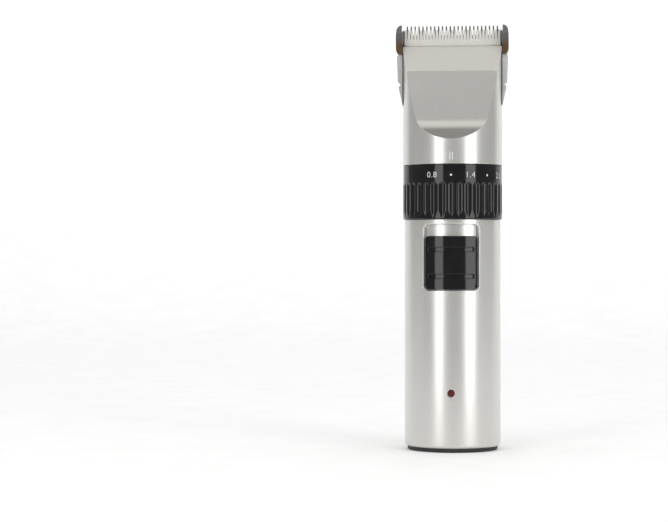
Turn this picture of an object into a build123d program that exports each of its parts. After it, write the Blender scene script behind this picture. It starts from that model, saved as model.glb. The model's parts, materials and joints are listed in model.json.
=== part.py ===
"""Beard trimmer with a length dial, built as separate pieces.

Millimetres. +Z runs from the base to the blade, the switch faces -Y, and the
origin is the centre of the flat base. Inner pieces are placed from the same
values as the casings that hold them.
"""
from build123d import *
from math import cos, radians, sin, tan
import os

# ---------------------------------------------------------------- clearances
SEAT = 0.15          # between a fixed piece and the curved wall it seats in
RUN = 0.03           # radial running clearance of a shaft in its bush
SLIDE = 0.12         # between flat faces that slide
FREE = 0.3           # between curved faces of pieces that move past each other
AXIAL = 0.15         # dial ring to the casings above and below it

# ---------------------------------------------------------------- overall
HEAD_R = 20.2        # radius of the head, the widest round part
RING_R = HEAD_R - 0.1
BARREL_R = HEAD_R - 0.7

# ---------------------------------------------------------------- barrel
BARREL_WALL = 1.6
BARREL_FOOT = 1.6    # height of the barrel's lower edge above the base
BARREL_H = 91.5      # length of the barrel
FOOT_ROUND = 1.3

CAP_R = BARREL_R - FOOT_ROUND + 0.1
CAP_PLUG_H = 4.6
CAP_PLUG_WALL = 1.8
CAP_ROUND = 0.8

# ---------------------------------------------------------------- dial ring
RING_H = 22.2        # from the barrel to the head
RING_WALL = 2.4
DIAL_STEP = 22.5     # degrees from one length to the next
DIAL_UP = 1          # steps from rest to the shortest length
DIAL_DOWN = 3        # steps from rest to the longest length
FLUTES = 36
FLUTE_W = 2.2
FLUTE_DEPTH = 0.4
FLUTE_LOW = 1.5      # lower end of the flutes above the ring's lower edge
FLUTE_HIGH = 14.6    # upper end of the flutes

# ---------------------------------------------------------------- head
HEAD_WALL = 1.6
BLADE_TILT = 30.0    # the blade leans this far towards the front
BLADE_RISE = 48.7    # blade reference point above the head's lower edge
SCOOP_RISE = 9.9     # lowest point of the front scoop
LEDGE_ANGLE = 42.0   # scoop ledge from the vertical
CREASE_RISE = 38.0
CREASE_Y = -8.2
LOW_FACET_ANGLE = 17.0
SCOOP_ROUND = 7.4

# ---------------------------------------------------------------- blades
COMB_T = 1.2
COMB_TIP = 8.9       # comb tip from the blade reference point, along the blade
COMB_TAIL = 12.0     # comb's other end
COMB_PITCH = 1.585
COMB_GAP = 0.68
COMB_SLOT = 4.3
CUTTER_T = 1.4
CUTTER_TIP = 7.5
CUTTER_PITCH = 1.26
CUTTER_GAP = 0.5
CUTTER_SLOT = 3.7
CUTTER_TAIL = 11.5
CUTTER_TONGUE = 12.0
STROKE = 0.75        # cutter's travel to each side
LENGTH_STEP = 0.6    # cutter's travel along the blade per dial step
POCKET = CUTTER_T + 0.4   # head's blade seat below the comb's inner face
BLOCK_TAIL = 20.0    # lower end of the blade frame
EAR_T = 2.45
EAR_LOW = 3.6        # ear's lower end below the blade reference point
EAR_HIGH = 8.0

# ---------------------------------------------------------------- switch
WINDOW_W = 22.2
WINDOW_BELOW_TOP = 2.0
WINDOW_ROUND = 2.1
BUTTON_W = 20.9
BUTTON_H = 21.45
BUTTON_ROUND = 1.35
BUTTON_PROUD = 0.4
BUTTON_GAP = 0.2     # button to the lower edge of the window
SWITCH_TRAVEL = 4.4
FLOOR_T = 1.3
GRIP_GROOVE = 1.3
STEM = 4.0

# ---------------------------------------------------------------- electrics
CELL_R = 7.0
CELL_L = 50.0
BOARD_T = 1.0
BOARD_HALF = 12.0
BOARD_Y = -9.5       # rear face of the circuit board
SOCKET_BORE_R = 1.8
SOCKET_BORE_L = 10.0
SOCKET_SIDE = 7.0
LENS_R = 1.4
LENS_RISE = 23.8

# ---------------------------------------------------------------- motor and drive
MOTOR_R = 10.0
MOTOR_L = 27.5
MOTOR_WALL = 0.7
MOTOR_Y = 1.0
SHAFT_R = 1.0
ECCENTRIC = 0.43     # crank pin's offset from the shaft
CRANK_R = 1.5
NECK_WALL = 1.5
NECK_TOP = 5.7       # neck above the ring
PIN_R = 1.0
ARM_HALF = 2.0       # half the width of the lever's arm
FINGER_HALF = 1.2
FINGER_U = -8.0      # lever finger along the blade

# ---------------------------------------------------------------- worked-out places
BARREL_TOP = BARREL_FOOT + BARREL_H
BORE_R = BARREL_R - BARREL_WALL
RING_LOW = BARREL_TOP
HEAD_LOW = RING_LOW + RING_H
RING_BORE_R = RING_R - RING_WALL
NECK_R = RING_BORE_R - FREE
NECK_BORE_R = NECK_R - NECK_WALL
NECK_HIGH = HEAD_LOW + NECK_TOP
HEAD_BORE_R = HEAD_R - HEAD_WALL
BLADE_Z = HEAD_LOW + BLADE_RISE
EAR_INNER = HEAD_R + SEAT
EAR_OUTER = EAR_INNER + EAR_T
COMB_HALF = EAR_INNER - 0.05
COMB_TEETH = int((2 * COMB_HALF - 2.4) / COMB_PITCH)
CUTTER_HALF = EAR_INNER - STROKE - 0.1
CUTTER_TEETH = round(2 * CUTTER_HALF / CUTTER_PITCH)
TRAY_R = BORE_R - FREE
TRAY_WALL = 1.6

WINDOW_H = BUTTON_GAP + BUTTON_H + SWITCH_TRAVEL + 0.25
WINDOW_TOP = BARREL_TOP - WINDOW_BELOW_TOP
WINDOW_MID = WINDOW_TOP - WINDOW_H / 2
BUTTON_LOW = WINDOW_TOP - WINDOW_H + BUTTON_GAP
BUTTON_MID = BUTTON_LOW + BUTTON_H / 2
FLOOR_R = BORE_R - SEAT
BUTTON_IN_R = FLOOR_R + FREE

MOTOR_TOP = RING_LOW + 10.4
MOTOR_LOW = MOTOR_TOP - MOTOR_L
MOTOR_CAP_LOW = MOTOR_LOW - 1.8
PLATE = 1.5
MID_PLATE_TOP = MOTOR_CAP_LOW - 1.2
CELL_TOP = MID_PLATE_TOP - PLATE - 1.5
CELL_LOW = CELL_TOP - CELL_L
LOW_PLATE_TOP = CELL_LOW - 1.5
CELL_X = CELL_R + 0.3
CELL_Y = 1.5
CRANK_LOW = MOTOR_TOP + 6.0
CRANK_TOP = CRANK_LOW + 6.0
PIN_Z = HEAD_LOW + 13.7
BRACKET_T = 2.0
BRACKET_TOP = NECK_HIGH + BRACKET_T
SHOULDER_T = 1.6
SHOULDER_TOP = BRACKET_TOP + SEAT + SHOULDER_T
FORK_HALF = CRANK_R + 2 * ECCENTRIC + 0.2

DIAL_DEG_UP = DIAL_STEP * DIAL_UP
DIAL_DEG_DOWN = DIAL_STEP * DIAL_DOWN
YOKE_STEP = LENGTH_STEP / cos(radians(BLADE_TILT))
FOLLOWER_R = 1.1
FOLLOWER_Z = HEAD_LOW - 3.4
RETREAT = LENGTH_STEP * DIAL_DOWN
ADVANCE = LENGTH_STEP * DIAL_UP

SCREW_R = 0.95
SCREW_X = NECK_BORE_R - 3.3
SCREW_Y = -6.0

GUIDE_M = (CUTTER_T + 0.15, CUTTER_T + 2.6)
GUIDE_TOP = -4.2
GUIDE_TAIL = FINGER_U - 5.0

DETENT_HALF = 2.5    # half the width of the neck's window
DETENT_LOW = RING_LOW + 3.5
DETENT_HIGH = DETENT_LOW + 7.0
DETENT_T = 0.4
NOSE_R = 0.8

SOCKET_LOW = BARREL_FOOT + SLIDE
SOCKET_TOP = SOCKET_LOW + SOCKET_BORE_L + 1.5

MAGNET_T = 2.2
MAGNET_LOW = MOTOR_LOW + 6.5
MAGNET_HIGH = MOTOR_TOP - 2.5
MAGNET_R = MOTOR_R - MOTOR_WALL - SEAT
ROTOR_R = MAGNET_R - MAGNET_T - FREE
BUSH_R = 2.2
PRESS_R = SHAFT_R + 0.01     # bore of the pieces pressed on the shaft

LEVER_Y = (MOTOR_Y - 1.5, MOTOR_Y + 1.5)
LEVER_HUB_Y = (MOTOR_Y - 4.6, MOTOR_Y + 5.2)

YOKE_HALF = 2.6
YOKE_Y = (NECK_BORE_R - 2.9, NECK_BORE_R - 0.7)
YOKE_ARM_X = (6.3, 8.7)
YOKE_BAR_LOW = BRACKET_TOP + 4.0
YOKE_ARM_M = (GUIDE_M[1] + 0.5, GUIDE_M[1] + 2.5)
PEG_U = (FINGER_U - 3.8, FINGER_U - 1.6)

RAIL_LOW = HEAD_LOW + 24.4
RAIL_HIGH = BLADE_Z - EAR_LOW - 0.2
RAIL_TONGUE = 1.5
RAIL_HALF = 3.5

CHEEK_IN = CUTTER_TONGUE + STROKE + 0.5
CHEEK_TOP = -1.0 - RETREAT - 0.4
SKIRT_X = (HEAD_BORE_R - 3.6, HEAD_BORE_R - 1.3)
SKIRT_U = (-14.0, -5.0)
SKIRT_M = GUIDE_M[1] + 2.5
COMB_SCREW = (sum(SKIRT_X) / 2, -7.5)
COMB_SCREW_R = 0.7
SPRING_M = (GUIDE_M[1] + 0.05, GUIDE_M[1] + 0.4)
SPRING_U = (-8.0, -6.4)
FAR = 80             # reach of the blocks that only cut

# blade space: x across, y along the blade to the tips, z into the head
TILT = radians(BLADE_TILT)
BLADE = Plane(origin=(0, 0, BLADE_Z), x_dir=(1, 0, 0), z_dir=(0, -cos(TILT), -sin(TILT)))


# ---------------------------------------------------------------- helpers
def block(x, y, z):
    """Box between two values on each axis."""
    centre = Pos((x[0] + x[1]) / 2, (y[0] + y[1]) / 2, (z[0] + z[1]) / 2)
    return centre * Box(x[1] - x[0], y[1] - y[0], z[1] - z[0])


def rod(radius, low, high, x=0.0, y=0.0):
    """Cylinder along Z."""
    return Pos(x, y, (low + high) / 2) * Cylinder(radius, high - low)


def tube(outer, inner, low, high, x=0.0, y=0.0):
    """Hollow cylinder along Z."""
    return rod(outer, low, high, x, y) - rod(inner, low - 1, high + 1, x, y)


def rod_y(radius, front, back, x=0.0, z=0.0):
    """Cylinder along Y."""
    return Pos(x, (front + back) / 2, z) * Rot(90, 0, 0) * Cylinder(radius, back - front)


def both(shape):
    """The shape and its mirror image across the middle plane."""
    return shape + mirror(shape, Plane.YZ)


def on_blade(shape):
    """Shape drawn in blade space, moved to its place."""
    return BLADE * shape


def rounded_bar(width, height, radius, mid_z, front, back):
    """Bar along Y with a rounded rectangular section."""
    face = Plane.XZ.offset(-back) * Pos(0, mid_z) * RectangleRounded(width, height, radius)
    return extrude(face, back - front)


def facet_line():
    """Scoop outline corners from the ledge to above the blade, as (y, z)."""
    crease_z = HEAD_LOW + CREASE_RISE
    scoop_z = HEAD_LOW + SCOOP_RISE
    ledge = 1 / tan(radians(LEDGE_ANGLE))
    facet = 1 / tan(radians(LOW_FACET_ANGLE))
    corner_y = (crease_z - scoop_z - facet * CREASE_Y - ledge * HEAD_R) / (ledge - facet)
    corner_z = scoop_z + ledge * (corner_y + HEAD_R)
    top_y = -POCKET / cos(TILT) - 0.05
    rise = BLADE_Z - crease_z
    out_y = -HEAD_R - 8
    out_z = scoop_z + ledge * (out_y + HEAD_R)
    high_y = top_y + (top_y - CREASE_Y)
    return [(out_y, out_z), (corner_y, corner_z), (CREASE_Y, crease_z), (high_y, BLADE_Z + rise),
            (out_y, BLADE_Z + rise)]


def scoop(grow):
    """The space in front of the head's scooped face, grown inwards by a wall."""
    points = facet_line()
    face = make_face(Plane.YZ * Polyline(*points, close=True))
    corner = face.vertices().sort_by_distance(Vector(0, *points[1]))[0]
    face = fillet(corner, SCOOP_ROUND)
    if grow > 0:
        face = offset(face, grow, kind=Kind.INTERSECTION)
    return extrude(face, HEAD_R + 10, both=True)


# ---------------------------------------------------------------- lower casing
def barrel_shell():
    outer = rod(BARREL_R, BARREL_FOOT, BARREL_TOP)
    outer = fillet(outer.edges().filter_by(GeomType.CIRCLE).sort_by(Axis.Z)[0], FOOT_ROUND)
    shell = outer - rod(BORE_R, BARREL_FOOT - 1, BARREL_TOP + 1)
    shell -= rounded_bar(WINDOW_W, WINDOW_H, WINDOW_ROUND, WINDOW_MID, -BARREL_R - 2, -BARREL_R / 2)
    return shell - rod_y(LENS_R + SEAT, -BARREL_R - 2, -BARREL_R / 2, 0, LENS_RISE)


def base_cap():
    flange = rod(CAP_R, 0, BARREL_FOOT)
    flange = fillet(flange.edges().filter_by(GeomType.CIRCLE).sort_by(Axis.Z)[0], CAP_ROUND)
    plug_top = BARREL_FOOT + CAP_PLUG_H
    plug = tube(FLOOR_R, FLOOR_R - CAP_PLUG_WALL, BARREL_FOOT, plug_top)
    cap = flange + plug
    cap -= rod(SOCKET_BORE_R + 0.8, -1, BARREL_FOOT + 1)
    for x in cap_screw_places():
        cap += rod(3.2, BARREL_FOOT, plug_top - 1, x)
        cap -= rod(2.3, -1, BARREL_FOOT, x) + rod(SCREW_R + SLIDE, -1, plug_top, x)
    return cap


def cap_screw_places():
    place = FLOOR_R - CAP_PLUG_WALL - 3.6
    return [-place, place]


def screw(head_r, head_h, length):
    """Pan screw: top of its head at the origin, shank along +Z, with a cross slot."""
    head = rod(head_r, 0, head_h)
    head = fillet(head.edges().filter_by(GeomType.CIRCLE).sort_by(Axis.Z)[0], head_h * 0.35)
    slot = block((-head_r * 0.6, head_r * 0.6), (-0.2, 0.2), (-1, head_h * 0.5))
    return head + rod(SCREW_R, head_h, length) - slot - Rot(0, 0, 90) * slot


def cap_screws():
    length = LOW_PLATE_TOP - PLATE - 1
    return [Pos(x, 0, 0.3) * screw(2.1, 1.2, length) for x in cap_screw_places()]


def chassis():
    """Tray for the cells and the motor, with the neck that the dial turns on."""
    top = BARREL_TOP - 1.2
    low = BARREL_FOOT + CAP_PLUG_H + 0.5
    tray = tube(TRAY_R, TRAY_R - TRAY_WALL, low, top)
    tray -= block((-TRAY_R - 1, TRAY_R + 1), (-TRAY_R - 1, CELL_Y + 1), (low - 1, top - PLATE))
    disc_r = TRAY_R - TRAY_WALL / 2
    discs = rod(disc_r, LOW_PLATE_TOP - PLATE, LOW_PLATE_TOP)
    discs += rod(disc_r, MID_PLATE_TOP - PLATE, MID_PLATE_TOP)
    front = BOARD_Y + SLIDE
    discs -= block((-TRAY_R - 1, TRAY_R + 1), (-TRAY_R - 1, front), (0, MID_PLATE_TOP + 1))
    collar = rod(TRAY_R, top - PLATE, top)
    neck = tube(NECK_R, NECK_BORE_R, top - PLATE, NECK_HIGH)
    deck = rod(NECK_BORE_R + 0.1, MOTOR_TOP, MOTOR_TOP + 2)
    deck -= rod(3.4, MOTOR_TOP - 1, MOTOR_TOP + 3, 0, MOTOR_Y)
    collar -= rod(NECK_BORE_R, top - PLATE - 1, top + 1)
    floor_half = WINDOW_W / 2 + 1.5 + SEAT
    floor_room = block((-floor_half, floor_half), (-BARREL_R, BOARD_Y - BOARD_T),
                       (0, WINDOW_TOP + 0.9 + SEAT))
    posts = both(rod(2.3, MOTOR_TOP, NECK_HIGH, SCREW_X, SCREW_Y))
    cap_posts = both(rod(2.4, low, LOW_PLATE_TOP - PLATE / 2, cap_screw_places()[1]))
    body = tray + discs + collar + neck + deck + posts + cap_posts - floor_room
    body -= both(rod(SCREW_R + RUN, MOTOR_TOP + 3, NECK_HIGH + 1, SCREW_X, SCREW_Y))
    body -= both(rod(SCREW_R + RUN, 0, LOW_PLATE_TOP - PLATE / 2 - 0.4, cap_screw_places()[1]))
    for x, y in motor_screw_places():
        body -= rod(SCREW_R + SLIDE, MOTOR_TOP - 1, MOTOR_TOP + 3, x, y)
    slot_low = FOLLOWER_Z - FOLLOWER_R - SLIDE - YOKE_STEP * DIAL_DOWN
    slot_high = FOLLOWER_Z + FOLLOWER_R + SLIDE + YOKE_STEP * DIAL_UP
    half = FOLLOWER_R + SLIDE
    body -= block((-half, half), (NECK_BORE_R - 3, NECK_R + 1), (slot_low, slot_high))
    body -= block((-DETENT_HALF - SLIDE, DETENT_HALF + SLIDE), (-NECK_R - 1, -NECK_BORE_R + 3),
                  (DETENT_LOW, DETENT_HIGH))
    return body


def detent_spring():
    """Leaf in the neck's window, with a round nose for the dial's notches."""
    y = -NECK_BORE_R - NECK_WALL / 2
    leaf = block((-DETENT_HALF, DETENT_HALF), (y, y + DETENT_T), (DETENT_LOW, DETENT_HIGH))
    mid = (DETENT_LOW + DETENT_HIGH) / 2
    nose = rod(NOSE_R, mid - 2.0, mid + 2.0, 0, -RING_BORE_R + 0.1 + NOSE_R)
    return leaf + nose


# ---------------------------------------------------------------- dial ring
def cam_groove():
    """Screw groove inside the dial that lifts and lowers the length yoke."""
    margin = 4.0
    span = DIAL_DEG_UP + DIAL_DEG_DOWN + 2 * margin
    pitch = YOKE_STEP * 360 / DIAL_STEP
    mid_r = RING_BORE_R + 0.3
    path = Helix(pitch, pitch * span / 360, mid_r, lefthand=True)
    half = FOLLOWER_R + SLIDE
    start = path @ 0
    section = Plane(origin=start, x_dir=(1, 0, 0), z_dir=path % 0) * Rectangle(2.0, 2 * half)
    groove = sweep(section, path=path, is_frenet=True)
    low = FOLLOWER_Z - YOKE_STEP / DIAL_STEP * (DIAL_DEG_DOWN + margin)
    return Pos(0, 0, low) * Rot(0, 0, 90 + DIAL_DEG_DOWN + margin) * groove


def dial_ring():
    low = RING_LOW + AXIAL
    high = HEAD_LOW - AXIAL
    ring = tube(RING_R, RING_BORE_R, low, high)
    rims = ring.edges().filter_by(GeomType.CIRCLE).group_by(SortBy.RADIUS)[-1]
    ring = fillet(rims, 0.3)
    scallop_r = FLUTE_W ** 2 / (8 * FLUTE_DEPTH) + FLUTE_DEPTH / 2
    scallop = rod(scallop_r, RING_LOW + FLUTE_LOW, RING_LOW + FLUTE_HIGH, RING_R + scallop_r - FLUTE_DEPTH)
    ring -= [Rot(0, 0, i * 360 / FLUTES) * scallop for i in range(FLUTES)]
    mid = (DETENT_LOW + DETENT_HIGH) / 2
    notch = rod(1.0, mid - 2.5, mid + 2.5, 0, -RING_BORE_R + 0.45)
    ring -= [Rot(0, 0, i * DIAL_STEP) * notch for i in range(-DIAL_UP, DIAL_DOWN + 1)]
    return ring - cam_groove()


# ---------------------------------------------------------------- switch
def switch_floor():
    """Curved plate under the switch, seated against the inside of the barrel."""
    plate = tube(FLOOR_R, FLOOR_R - FLOOR_T, WINDOW_MID - WINDOW_H / 2 - 1.5, WINDOW_TOP + 0.9)
    plate &= block((-WINDOW_W / 2 - 1.5, WINDOW_W / 2 + 1.5), (-BARREL_R, 0), (0, BARREL_TOP))
    half = STEM / 2
    slot = block((-half - SLIDE, half + SLIDE), (-BARREL_R, 0),
                 (BUTTON_MID - half - SLIDE, BUTTON_MID + half + SWITCH_TRAVEL + SLIDE))
    return plate - slot


def switch_button():
    face_r = BARREL_R + BUTTON_PROUD
    pad = tube(face_r, BUTTON_IN_R, BUTTON_LOW, BUTTON_LOW + BUTTON_H)
    pad &= rounded_bar(BUTTON_W, BUTTON_H, BUTTON_ROUND, BUTTON_MID, -face_r - 2, -BARREL_R / 2)
    for side in (-1, 1):
        z = BUTTON_MID + side * BUTTON_H / 4
        ring = tube(face_r + 1, face_r - 0.5, z - GRIP_GROOVE / 2, z + GRIP_GROOVE / 2)
        pad -= ring & block((-9.2, 9.2), (-face_r - 2, 0), (BUTTON_LOW, BUTTON_LOW + BUTTON_H))
    half = STEM / 2
    stem = block((-half, half), (-BUTTON_IN_R - 0.3, slider_front() + 0.8),
                 (BUTTON_MID - half, BUTTON_MID + half))
    return pad + stem


def slider_front():
    return BOARD_Y - BOARD_T - 3.0


def switch_slider():
    half = STEM / 2
    front = slider_front()
    body = block((-3.5, 3.5), (front, front + 2.0), (BUTTON_MID - 4, BUTTON_MID + 4))
    socket = half + 0.04
    return body - block((-socket, socket), (front - 1, front + 0.85),
                        (BUTTON_MID - socket, BUTTON_MID + socket))


def switch_base():
    front = slider_front() + 0.5
    back = BOARD_Y - BOARD_T
    low = BUTTON_MID - 4 - SLIDE
    high = BUTTON_MID + 4 + SWITCH_TRAVEL + SLIDE
    body = block((-5, 5), (front, back), (low - 2, high + 2))
    return body - block((-3.5 - SLIDE, 3.5 + SLIDE), (front - 1, slider_front() + 2.0 + SLIDE), (low, high))


def switch_contacts():
    """Three solder legs behind the switch."""
    back = BOARD_Y - BOARD_T
    legs = []
    for step in (-1, 0, 1):
        z = BUTTON_MID + 1 + step * 4
        legs.append(block((5.05, 6.3), (back - 0.5, back), (z - 0.5, z + 0.5)))
    return legs


# ---------------------------------------------------------------- electrics
def circuit_board():
    low = SOCKET_TOP + 0.5
    return block((-BOARD_HALF, BOARD_HALF), (BOARD_Y - BOARD_T, BOARD_Y), (low, BARREL_TOP - PLATE - 1.6))


def charge_socket():
    half = SOCKET_SIDE / 2
    body = block((-half, half), (-half, half), (SOCKET_LOW, SOCKET_TOP))
    return body - rod(SOCKET_BORE_R, SOCKET_LOW - 1, SOCKET_LOW + SOCKET_BORE_L)


def indicator_led():
    body = rod_y(1.2, -BORE_R + 3.2, BOARD_Y - BOARD_T, 0, LENS_RISE)
    flange = rod_y(1.6, BOARD_Y - BOARD_T - 0.6, BOARD_Y - BOARD_T, 0, LENS_RISE)
    return body + flange


def indicator_lens():
    """Round window, flush with the barrel outside and flanged inside."""
    front = rod_y(LENS_R, -BARREL_R + 0.15, -BORE_R + 2.6, 0, LENS_RISE)
    front = fillet(front.edges().filter_by(GeomType.CIRCLE).sort_by(Axis.Y)[0], 0.3)
    flange = rod_y(LENS_R + 0.8, -BORE_R + 0.35, -BORE_R + 1.0, 0, LENS_RISE)
    return front + flange


def cell(side):
    body = rod(CELL_R, CELL_LOW, CELL_TOP - 1.0, side * CELL_X, CELL_Y)
    body = fillet(body.edges().filter_by(GeomType.CIRCLE), 0.5)
    nub = CELL_TOP if side > 0 else CELL_TOP - 0.99
    return body + rod(2.8, CELL_TOP - 1.2, nub, side * CELL_X, CELL_Y)


def cell_contact_low():
    """Strip that joins the two cells at their lower ends."""
    z = LOW_PLATE_TOP
    strip = block((-CELL_X - 4, CELL_X + 4), (CELL_Y - 2.5, CELL_Y + 2.5), (z, z + 0.4))
    return strip + both(rod(2.2, z, CELL_LOW, CELL_X, CELL_Y))


def cell_contacts_top():
    """One contact plate above each cell."""
    z = MID_PLATE_TOP - PLATE
    plates = []
    for side in (-1, 1):
        plate = block((side * CELL_X - 4, side * CELL_X + 4), (CELL_Y - 3, CELL_Y + 3), (z - 0.4, z))
        reach = CELL_TOP if side > 0 else CELL_TOP - 0.99
        plates.append(plate + rod(2.2, reach, z, side * CELL_X, CELL_Y))
    return plates


# ---------------------------------------------------------------- motor
def motor_screw_places():
    return [(-6.5, MOTOR_Y), (6.5, MOTOR_Y)]


def motor_can():
    can = rod(MOTOR_R, MOTOR_LOW, MOTOR_TOP, 0, MOTOR_Y)
    can = fillet(can.edges().filter_by(GeomType.CIRCLE).sort_by(Axis.Z)[-1], 1.0)
    can -= rod(MOTOR_R - MOTOR_WALL, MOTOR_LOW - 1, MOTOR_TOP - 1.2, 0, MOTOR_Y)
    can += tube(3.1, BUSH_R, MOTOR_TOP - 0.5, MOTOR_TOP + 1.6, 0, MOTOR_Y)
    can -= rod(BUSH_R, MOTOR_TOP - 2, MOTOR_TOP + 1, 0, MOTOR_Y)
    for x, y in motor_screw_places():
        can -= rod(SCREW_R + RUN, MOTOR_TOP - 2, MOTOR_TOP + 1, x, y)
    return can


def motor_end_cap():
    lid = rod(MOTOR_R, MOTOR_CAP_LOW, MOTOR_LOW, 0, MOTOR_Y)
    lip_r = MOTOR_R - MOTOR_WALL
    lid += tube(lip_r - SEAT, lip_r - 1.4, MOTOR_LOW, MOTOR_LOW + 2, 0, MOTOR_Y)
    return lid - rod(BUSH_R, MOTOR_CAP_LOW + 0.5, MOTOR_LOW + 1, 0, MOTOR_Y)


def motor_bush(low, high):
    return tube(BUSH_R - 0.02, SHAFT_R + RUN, low, high, 0, MOTOR_Y)


def motor_magnet(side):
    arc = tube(MAGNET_R, MAGNET_R - MAGNET_T, MAGNET_LOW, MAGNET_HIGH, 0, MOTOR_Y)
    near = 1.6
    far = MOTOR_R + 1
    x = (near, far) if side > 0 else (-far, -near)
    return arc & block(x, (MOTOR_Y - MOTOR_R, MOTOR_Y + MOTOR_R), (MAGNET_LOW, MAGNET_HIGH))


def rotor_core():
    core = tube(ROTOR_R, PRESS_R, MAGNET_LOW + 0.5, MAGNET_HIGH - 0.5, 0, MOTOR_Y)
    slot = block((ROTOR_R - 2.2, ROTOR_R + 1), (-0.6, 0.6), (MAGNET_LOW, MAGNET_HIGH))
    slots = [Pos(0, MOTOR_Y, 0) * Rot(0, 0, i * 120) * slot for i in range(3)]
    return core - slots


def rotor_shaft():
    return rod(SHAFT_R, MOTOR_CAP_LOW + 0.7, CRANK_LOW + 0.5, 0, MOTOR_Y)


def commutator():
    return tube(2.4, PRESS_R, MOTOR_LOW + 2.4, MAGNET_LOW + 0.3, 0, MOTOR_Y)


def motor_brushes():
    arms = []
    low = MOTOR_LOW + 2.5
    for side in (-1, 1):
        x = sorted((side * 2.5, side * (MOTOR_R - MOTOR_WALL - 2.2)))
        arms.append(block(tuple(x), (MOTOR_Y - 1, MOTOR_Y + 1), (low, low + 1.6)))
    return arms


def motor_screws():
    top = MOTOR_TOP + 2
    return [Pos(x, y, top + 1.1) * Rot(180, 0, 0) * screw(1.8, 1.1, 1.1 + 2 + 1.0)
            for x, y in motor_screw_places()]


def eccentric():
    """Crank on the shaft: a round hub with an offset pin."""
    hub = rod(3.0, CRANK_LOW - 2.5, CRANK_LOW, 0, MOTOR_Y)
    pin = rod(CRANK_R, CRANK_LOW, CRANK_TOP, 0, MOTOR_Y - ECCENTRIC)
    return hub + pin - rod(PRESS_R, CRANK_LOW - 3, CRANK_LOW + 0.6, 0, MOTOR_Y)


# ---------------------------------------------------------------- drive lever
def drive_lever():
    hub = rod_y(3.0, LEVER_HUB_Y[0], LEVER_HUB_Y[1], 0, PIN_Z)
    arm = block((-ARM_HALF, ARM_HALF), LEVER_Y, (PIN_Z, BLADE_Z))
    arm &= on_blade(block((-FAR, FAR), (-FAR, FINGER_U + 1.2), (GUIDE_M[1] + 0.2, FAR)))
    finger = on_blade(block((-FINGER_HALF, FINGER_HALF), (FINGER_U - 1.2, FINGER_U + 1.2),
                            (SLIDE + 0.1, GUIDE_M[1] + 1.0)))
    crotch = CRANK_TOP + 1.5
    web = block((-FORK_HALF - 1.8, FORK_HALF + 1.8), LEVER_Y, (crotch, crotch + 3))
    leg = block((-ARM_HALF - 0.6, ARM_HALF + 0.6), LEVER_Y, (crotch, PIN_Z))
    tine = block((FORK_HALF, FORK_HALF + 1.8), LEVER_Y, (CRANK_LOW + 1.2, crotch + 0.1))
    lever = hub + arm + finger + web + leg + both(tine)
    return lever - rod_y(PIN_R + RUN, LEVER_HUB_Y[0] - 1, LEVER_HUB_Y[1] + 1, 0, PIN_Z)


def lever_pin():
    return rod_y(PIN_R, LEVER_HUB_Y[0] - 1.6, LEVER_HUB_Y[1] + 1.6, 0, PIN_Z)


def drive_bracket():
    """Plate on the neck with two ears for the lever's pin."""
    plate = rod(NECK_R, NECK_HIGH, BRACKET_TOP)
    plate -= block((-FORK_HALF - 3, FORK_HALF + 3), (LEVER_Y[0] - 0.8, LEVER_Y[1] + 0.8),
                   (0, BRACKET_TOP + 1))
    half = YOKE_HALF + 0.4
    plate -= block((-half, half), (YOKE_Y[0] - 0.5, NECK_R + 1), (0, BRACKET_TOP + 1))
    front = LEVER_HUB_Y[0] - SLIDE - 0.1
    back = LEVER_HUB_Y[1] + SLIDE + 0.1
    for y in ((front - 1.5, front), (back, back + 1.5)):
        plate += block((-3, 3), y, (NECK_HIGH, PIN_Z + 2.6))
    plate -= rod_y(PIN_R + 0.02, -NECK_R, NECK_R, 0, PIN_Z)
    return plate - both(rod(SCREW_R + SLIDE, NECK_HIGH - 1, BRACKET_TOP + 1, SCREW_X, SCREW_Y))


def head_screws():
    top = SHOULDER_TOP + 1.2
    length = top - MOTOR_TOP - 4.5
    return [Pos(x, SCREW_Y, top) * Rot(180, 0, 0) * screw(1.9, 1.2, length) for x in (-SCREW_X, SCREW_X)]


# ---------------------------------------------------------------- length yoke
def length_yoke():
    """Slider behind the motor, forked round the lever, that sets the cutter's place."""
    bar_top = YOKE_BAR_LOW + 3.5
    arm = block((-YOKE_HALF, YOKE_HALF), YOKE_Y, (FOLLOWER_Z - 3.0, bar_top))
    bar = block((-YOKE_ARM_X[1], YOKE_ARM_X[1]), YOKE_Y, (YOKE_BAR_LOW, bar_top))
    pin = rod_y(FOLLOWER_R, YOKE_Y[0] + 0.5, RING_BORE_R + 1.1, 0, FOLLOWER_Z)
    bar_mid_y = sum(YOKE_Y) / 2
    bar_u = -bar_mid_y * sin(TILT) - (BLADE_Z - bar_top + 1.7) * cos(TILT)
    tine = block(YOKE_ARM_X, (bar_u, PEG_U[1]), YOKE_ARM_M)
    peg = block(YOKE_ARM_X, PEG_U, (CUTTER_T + 0.6, YOKE_ARM_M[0] + 0.1))
    lift = YOKE_STEP * DIAL_UP * sin(TILT)
    slope = on_blade(block((-FAR, FAR), (-FAR, FAR), (-FAR, HEAD_WALL - COMB_T + FREE + lift)))
    return arm + bar - slope + pin + both(on_blade(tine + peg))


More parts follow.
